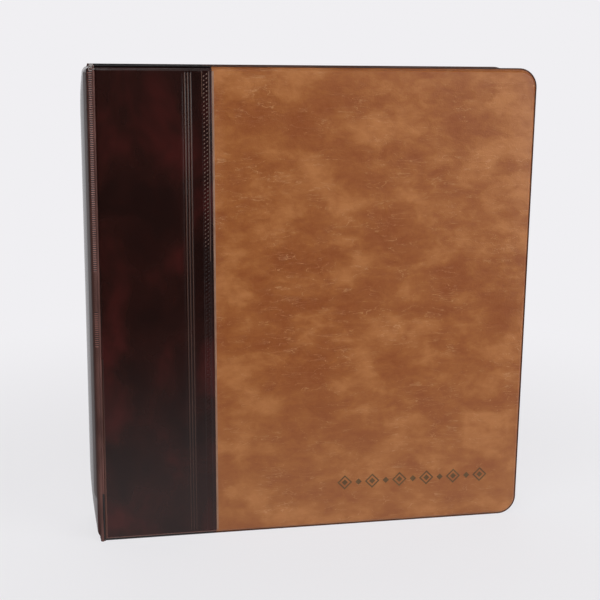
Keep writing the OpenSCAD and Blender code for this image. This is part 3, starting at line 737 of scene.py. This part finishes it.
def edge_bead(name):
    obj = plate(name, PANEL_X - BEAD_W, CASE_W, 0, CASE_H, 3.3)
    start(obj)
    pick("VERT", lambda x, y, z: x > CASE_W - 1)
    bpy.ops.mesh.bevel(offset=CORNER_R * MM, segments=14, affect="VERTICES")
    bpy.ops.mesh.select_all(action="SELECT")
    bpy.ops.mesh.inset(thickness=TAN_BEAD_W * MM)
    bpy.ops.mesh.delete(type="FACE")
    slices("x", [PANEL_X, SEAM_X - 0.8, SEAM_X - 0.3])
    pick("FACE", lambda x, y, z: x < PANEL_X)
    bpy.ops.mesh.delete(type="FACE")
    # It is wider along the dark vinyl
    for z, out in ((TAN_BEAD_W, 1), (CASE_H - TAN_BEAD_W, -1)):
        pick("VERT", lambda x, y, vz: abs(vz - z) < 0.01 and x < SEAM_X - 0.5)
        move(z=out * (BEAD_W - TAN_BEAD_W))
    bpy.ops.mesh.select_all(action="SELECT")
    draw_out(y=-1.2)
    weld()
    pick("EDGE", lambda x, y, z: x > PANEL_X + 0.1)
    bpy.ops.mesh.bevel(offset=0.22 * MM, segments=3, affect="EDGES", clamp_overlap=True)
    done()
    cover_over(obj, EDGE, TAN_EDGE)
    paint(obj, 1, lambda x, y, z: x > SEAM_X - 0.3)
    return obj


front_bead = edge_bead("front_edge_bead")
back_bead = mirrored(front_bead, "back_edge_bead")

# Measures of the spine, which has a shallow crown and is drawn in at both ends

SPINE_EDGE = 1.4  # distance of the spine's sides from the case's faces
CROWN_X, SIDE_X, FOOT_X, BOARD_X = -6.35, -2.85, 0.2, -1.5
# At each end: the rounding, the height of the tapering part, and how far it is drawn in
LOW = {"end_r": 6.4, "taper": 37.0, "drawn_in": 3.1}
HIGH = {"end_r": 4.4, "taper": 24.0, "drawn_in": 1.5}


def crown_at(y):
    half = MID_Y - SPINE_EDGE
    rise = SIDE_X - CROWN_X
    r = (half**2 + rise**2) / (2 * rise)
    return CROWN_X + r - math.sqrt(r**2 - (y - MID_Y) ** 2)


def drawn_in_at(height, end):
    """How far the spine's face stands from its crown line, at a height over the welded rim."""
    r = (end["taper"] ** 2 + end["drawn_in"] ** 2) / (2 * end["drawn_in"])
    over = height - end["end_r"]
    if over < 0:
        return CROWN_X + end["drawn_in"] + end["end_r"] - math.sqrt(end["end_r"] ** 2 - over**2)
    if over < end["taper"]:
        return CROWN_X + r - math.sqrt(r**2 - (end["taper"] - over) ** 2)
    return CROWN_X


def spine_face_at(z):
    """The furthest that the spine stands out at a height."""
    if not RIM_W < z < CASE_H - RIM_W:
        return FOOT_X
    if z < CASE_H / 2:
        return min(drawn_in_at(z - RIM_W, LOW), BOARD_X)
    return min(drawn_in_at(CASE_H - RIM_W - z, HIGH), BOARD_X)


# The hinge: the dark sheet goes on from the panel over the hinge line to the spine, pressed into ribs

RIB_COUNT = 229
RIB_PITCH = CASE_H / RIB_COUNT
RIB_ROWS = (0, 0.25, 0.5, 0.75, 1)
# The sheet seen from above, from the panel to the spine: X, Y and whether the ribs run there
HINGE_PATH = [
    (2.1, 0.9, 0), (1.75, 0.45, 0), (1.5, 0.14, 0), (1.15, 0.02, 0), (0.8, 0.14, 0), (0.6, 0.4, 0),
    (0.45, 0.55, 0), (0.3, 0.6, 1), (-0.15, 0.6, 1), (-0.6, 0.6, 1), (-1.1, 0.62, 1), (-1.6, 0.68, 1),
    (-2.1, 0.84, 0), (-2.6, 1.15, 0), (-3.0, 1.7, 0), (-3.3, 2.5, 0), (-3.64, 3.9, 0), (-3.98, 5.2, 0),
    (-4.58, 8.0, 0),
]


def hinge_sheet(name):
    """One rib's height of the sheet, repeated up the whole hinge."""
    bpy.ops.mesh.primitive_plane_add(size=1, location=at(*HINGE_PATH[0][:2], 0))
    obj = placed()
    obj.name = name
    start(obj)
    bpy.ops.mesh.select_all(action="SELECT")
    bpy.ops.mesh.merge(type="CENTER")
    for here, there in zip(HINGE_PATH, HINGE_PATH[1:]):
        pick("VERT", lambda x, y, z: abs(x - here[0]) < 0.001 and abs(y - here[1]) < 0.001)
        draw_out(x=there[0] - here[0], y=there[1] - here[1])
    for low, high in zip(RIB_ROWS, RIB_ROWS[1:]):
        pick("EDGE", lambda x, y, z: abs(z - low * RIB_PITCH) < 0.005)
        draw_out(z=(high - low) * RIB_PITCH)
    # The rib is a round ridge
    for row, lift in ((1, 0.2), (2, 0.32), (3, 0.2)):
        for x, y, ribbed in HINGE_PATH:
            if ribbed:
                pick(
                    "VERT",
                    lambda vx, vy, vz: math.dist((vx, vy, vz), (x, y, RIB_ROWS[row] * RIB_PITCH)) < 0.01,
                )
                move(y=-lift)
    done()
    repeat(obj, RIB_COUNT, z=RIB_PITCH, use_merge_vertices=True, merge_threshold=0.003 * MM)
    start(obj)
    # The rib tool was worn: full ribs at the top, some at mid height, hardly any below
    for z0, z1, keep in ((0, 105, 0.12), (105, 128, 0.5), (128, 150, 0.2), (150, 175, 0.6), (175, 215, 0.7)):
        pick("VERT", lambda x, y, z: z0 <= z < z1 and -1.7 < x < 0.4 and y < 0.7)
        bpy.ops.transform.resize(value=(1, keep, 1), center_override=at(0, 0.55, 0))
    weld()
    # The loop beside the panel sinks to a gap towards the foot, and both ends are drawn in
    only(lambda x, y, z: 0.42 < x < 2.2)
    pick("VERT", lambda x, y, z: z < 0.01)
    squeeze((1, 0.1, 1), (1, 1.5, 0), 85)
    bpy.ops.mesh.reveal(select=False)
    pick("VERT", lambda x, y, z: z < 0.01)
    squeeze((0.62, 1, 1), (1.6, 1.0, 0), 34)
    pick("VERT", lambda x, y, z: z > RIB_PITCH * RIB_COUNT - 0.01)
    squeeze((0.55, 1, 1), (1.2, 1.0, 0), 5)
    # Beside the spine's ends the sheet goes in with them
    ends = [k * RIB_PITCH / 4 for k in range(20)]
    for row in ends + [CASE_H - z for z in ends[:12]]:
        line = spine_face_at(row) - 0.1
        pick("VERT", lambda x, y, z: abs(z - row) < 0.01 and y > 1.9 and x < line)
        bpy.ops.transform.resize(value=(0, 1, 1), center_override=at(line, 0, 0))
    done()
    finish_with(obj, "SOLIDIFY", thickness=0.3 * MM, offset=-1)
    cover_over(obj, HINGE, EDGE, CREST_HIGHLIGHT)
    # Painted shade in the valleys and painted highlight on the crests where the ribs are left, and painted
    # shade in the gap beside the panel's foot
    in_ribs = lambda x, y, z: (z > 175 or 128 < z < 150) and -1.85 < x < 0.4 and y < 0.8
    off_valley = lambda z: abs(z / RIB_PITCH - round(z / RIB_PITCH))
    paint(obj, 1, lambda x, y, z: in_ribs(x, y, z) and off_valley(z) < 0.25)
    paint(obj, 2, lambda x, y, z: in_ribs(x, y, z) and off_valley(z) > 0.25)
    paint(obj, 1, lambda x, y, z: 0.5 < x < 1.8 and y > 0.9 and z < 32)
    return obj


front_hinge = hinge_sheet("front_hinge_sheet")
back_hinge = mirrored(front_hinge, "back_hinge_sheet")

# The spine: a padded vinyl shell


def spine_vinyl(name):
    bpy.ops.mesh.primitive_plane_add(
        size=1, location=at(CROWN_X, MID_Y, CASE_H / 2), rotation=(0, -math.pi / 2, 0)
    )
    obj = placed(((CASE_H - 2 * RIM_W) * MM, (CASE_T - 2 * SPINE_EDGE) * MM, 1))
    obj.name = name
    start(obj)
    columns = [SPINE_EDGE + d for d in (0.35, 0.9, 1.8, 3, 5, 8, 12, 16, 20)]
    columns += [MID_Y] + [CASE_T - y for y in columns]
    slices("y", columns)
    # No closer to the end than 0.15: a cut joins what lies nearer than 0.1 to it
    low = [0.15, 1.6, 2.0, 2.4, 3.4, 4.8, 6.4, 10, 14, 18, 23, 28, 33, 38, 43.4]
    high = [0.15, 0.4, 0.8, 1.4, 2.2, 3.2, 4.4, 7, 10, 13, 16, 20, 24, 28.4]
    end_rows = [RIM_W + h for h in low] + [CASE_H - RIM_W - h for h in high]
    slices("z", end_rows)
    slices("z", range(60, 260, 20))
    for y in [SPINE_EDGE, *columns, CASE_T - SPINE_EDGE]:
        pick("VERT", lambda vx, vy, vz: abs(vy - y) < 0.01)
        move(x=crown_at(y) - CROWN_X)
    # The sides of the pad
    pick("EDGE", lambda x, y, z: abs(y - MID_Y) > MID_Y - SPINE_EDGE - 0.01)
    draw_out(x=FOOT_X - SIDE_X)
    # Flatten each row near an end to the line of the drawn-in end
    for row in end_rows:
        line = spine_face_at(row)
        pick("VERT", lambda x, y, z: abs(z - row) < 0.01 and x < line)
        bpy.ops.transform.resize(value=(0, 1, 1), center_override=at(line, 0, 0))
    for end_z in (RIM_W, CASE_H - RIM_W):
        pick("VERT", lambda x, y, z: abs(z - end_z) < 0.01)
        bpy.ops.transform.resize(value=(0, 1, 1), center_override=at(FOOT_X, 0, 0))
    # The flat rim at the ends
    pick("EDGE", lambda x, y, z: z < RIM_W + 0.01)
    draw_out(z=-RIM_W)
    pick("EDGE", lambda x, y, z: z > CASE_H - RIM_W - 0.01)
    draw_out(z=RIM_W)
    weld()
    done()
    finish_with(obj, "SOLIDIFY", thickness=WALL * MM, offset=-1)
    cover_over(obj, SPINE)
    return obj


spine = spine_vinyl("spine_vinyl")

# The head of the hinge strip: a small loop where the strip's weld ends

HEAD_Z = 295.6


def strip_head(name):
    bpy.ops.mesh.primitive_torus_add(
        location=at(-0.3, 0.5, HEAD_Z), rotation=(math.pi / 2, 0, 0),
        major_radius=1.08 * MM, minor_radius=0.26 * MM, major_segments=24, minor_segments=8,
    )
    obj = placed()
    obj.name = name
    # The bead's end beside it
    bpy.ops.mesh.primitive_uv_sphere_add(
        segments=12, ring_count=8, radius=0.5 * MM, location=at(1.55, 0.2, HEAD_Z)
    )
    join(obj, placed())
    return obj


def torn_stub():
    """Where the front weld was torn off over its loop."""
    bpy.ops.mesh.primitive_cube_add(size=1, location=at(0.1, 1.2, 297.75))
    stub = placed((3.2 * MM, 2.2 * MM, 1.7 * MM))
    start(stub)
    bpy.ops.mesh.select_all(action="SELECT")
    bpy.ops.mesh.bevel(offset=0.55 * MM, segments=4, affect="EDGES")
    pick("VERT", lambda x, y, z: z > 298)
    bpy.ops.transform.resize(value=(0.8, 0.8, 1), center_override=at(0, 1.2, 0))
    done()
    return stub


front_head = strip_head("front_strip_head")
back_head = mirrored(front_head, "back_strip_head")
join(front_head, torn_stub())
# The heads are painted pale grey all over: painted highlight
for obj in (front_head, back_head):
    cover_over(obj, HEAD_HIGHLIGHT)

for obj in (front_tan, back_tan, front_dark, back_dark, front_bead, back_bead, front_hinge, back_hinge, spine,
            front_head, back_head):
    smooth(obj)

# Which body each piece moves with, and which part of the construction it shows

for side, tan, dark, bead, hinge, head in (
    ("front", front_tan, front_dark, front_bead, front_hinge, front_head),
    ("back", back_tan, back_dark, back_bead, back_hinge, back_head),
):
    cover = side + "_cover"
    for obj, slot in ((tan, "tan_vinyl"), (dark, "dark_vinyl"), (bead, "lining_vinyl"), (head, "dark_vinyl")):
        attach(obj, cover)
    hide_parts(side + "_tan_skin")
    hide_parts(side + "_dark_skin")
    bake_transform(hinge)
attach(spine, "spine")
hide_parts("spine_skin")

# The pieces that are shown as they were constructed, by the last word of their names. The rest is steel.

FINISHES = {
    "board": BOARD,
    "foam": FOAM,
    "liner": LINING,
    "half": CHROME,
    "card": CARD,
    "films": FILM,
    "skin": DARK,
}
for name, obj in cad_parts.items():
    cover_over(obj, FINISHES.get(name.split("_")[-1], NICKEL))

# A plain pale floor and backdrop, and soft light

bpy.ops.mesh.primitive_plane_add(size=1, location=(0, 0.85, 0))
floor = placed((6, 4.1, 1))
floor.name = "floor"
start(floor)
pick("EDGE", lambda x, y, z: y > 2000)
draw_out(z=3000)
pick("EDGE", lambda x, y, z: y > 2000 and z < 1)
bpy.ops.mesh.bevel(offset=0.8, segments=12, affect="EDGES")
done()
smooth(floor)


def seamless_paper():
    """Pale grey paper, matt. Away from the object the camera sees it evenly lit, as in a photo studio."""
    made, tree, shader = shade("Seamless_paper", Base_Color=srgb("#f0f0f1"), Roughness=0.95)
    place = node(tree, "TexCoord").outputs["Object"]
    distance = node(tree, "VectorMath", {"operation": "LENGTH"}, {0: place})
    far = node(
        tree, "MapRange", {"interpolation_type": "SMOOTHSTEP"},
        {"Value": distance.outputs["Value"], "From Min": 0.2, "From Max": 0.6, "To Min": 0.8},
    )
    ray = node(tree, "LightPath")
    seen = node(
        tree, "Math", {"operation": "MAXIMUM"},
        {0: ray.outputs["Is Camera Ray"], 1: ray.outputs["Is Transmission Ray"]},
    )
    looked_at = node(
        tree, "Math", {"operation": "MAXIMUM"}, {0: seen.outputs[0], 1: ray.outputs["Is Glossy Ray"]}
    )
    part = node(tree, "Math", {"operation": "MULTIPLY"}, {0: far.outputs["Result"], 1: looked_at.outputs[0]})
    # Mirrored in the album, the floor fades to the dim room in front
    along = node(tree, "SeparateXYZ", {}, {0: place})
    front = node(
        tree, "MapRange", {}, {"Value": along.outputs["Y"], "From Min": -0.1, "From Max": -0.42}
    )
    dimmed = node(
        tree, "Math", {"operation": "MULTIPLY"}, {0: front.outputs["Result"], 1: ray.outputs["Is Glossy Ray"]}
    )
    level = node(tree, "Math", {"operation": "SUBTRACT"}, {0: 1.0, 1: dimmed.outputs[0]})
    even = node(tree, "Emission", {}, {"Color": srgb("#f0eff2"), "Strength": level.outputs[0]})
    mixed = node(tree, "MixShader", {}, {0: part.outputs[0], 1: shader.outputs[0], 2: even.outputs[0]})
    tree.links.new(mixed.outputs[0], tree.nodes["Material Output"].inputs["Surface"])
    return made


cover_over(floor, seamless_paper())


def lamp(name, place, aim, width, power):
    bpy.ops.object.light_add(type="AREA", location=place)
    made = bpy.context.object
    made.name = name
    made.data.shape = "SQUARE"
    made.data.size = width
    made.data.energy = power
    made.rotation_euler = (Vector(aim) - Vector(place)).to_track_quat("-Z", "Y").to_euler()


lamp("key", (-0.65, -1.25, 1.45), (0, 0, 0.1), 1.7, 18.5)
lamp("fill", (1.2, -1.1, 0.65), (0.1, 0, 0.05), 1.3, 18.5)
lamp("top", (0.1, 1.2, 1.9), (0, 0.1, 0), 1.5, 9)

world = bpy.data.worlds.new("studio")
bpy.context.scene.world = world
world.use_nodes = True
tree = world.node_tree
background = tree.nodes["Background"]
# The room is pale behind the object and dim in front of it; the camera sees it pale all round
direction = node(tree, "SeparateXYZ", {}, {0: node(tree, "TexCoord").outputs["Generated"]})
behind = node(
    tree, "MapRange", {},
    {"Value": direction.outputs["Y"], "From Min": 0.15, "From Max": 0.6, "To Min": 0.02, "To Max": 0.8},
)
ray = node(tree, "LightPath")
looked_at = node(
    tree, "Math", {"operation": "MAXIMUM"},
    {0: ray.outputs["Is Camera Ray"], 1: ray.outputs["Is Transmission Ray"]},
)
pale = node(tree, "Math", {"operation": "MULTIPLY"}, {0: looked_at.outputs[0], 1: 0.87})
level = node(tree, "Math", {"operation": "MAXIMUM"}, {0: behind.outputs["Result"], 1: pale.outputs[0]})
tree.links.new(level.outputs[0], background.inputs["Strength"])
background.inputs["Color"].default_value = (1, 1, 1, 1)

# The camera stands where the photograph was taken from

bpy.ops.object.camera_add()
camera = bpy.context.object
camera.name = "photo_camera"
camera.data.sensor_width = 36
camera.data.lens = 70.7
forward = Vector((0.193596, 0.958104, -0.211086)).normalized()
right = Vector((0.980608, -0.195652, 0.011306)).normalized()
up = right.cross(forward)
camera.matrix_world = Matrix(
    (
        (right.x, up.x, -forward.x, -0.153311),
        (right.y, up.y, -forward.y, -0.737161),
        (right.z, up.z, -forward.z, 0.310393),
        (0, 0, 0, 1),
    )
)
camera.data.clip_start, camera.data.clip_end = 0.01, 20
bpy.context.scene.camera = camera
bpy.context.scene.view_settings.view_transform = "Standard"
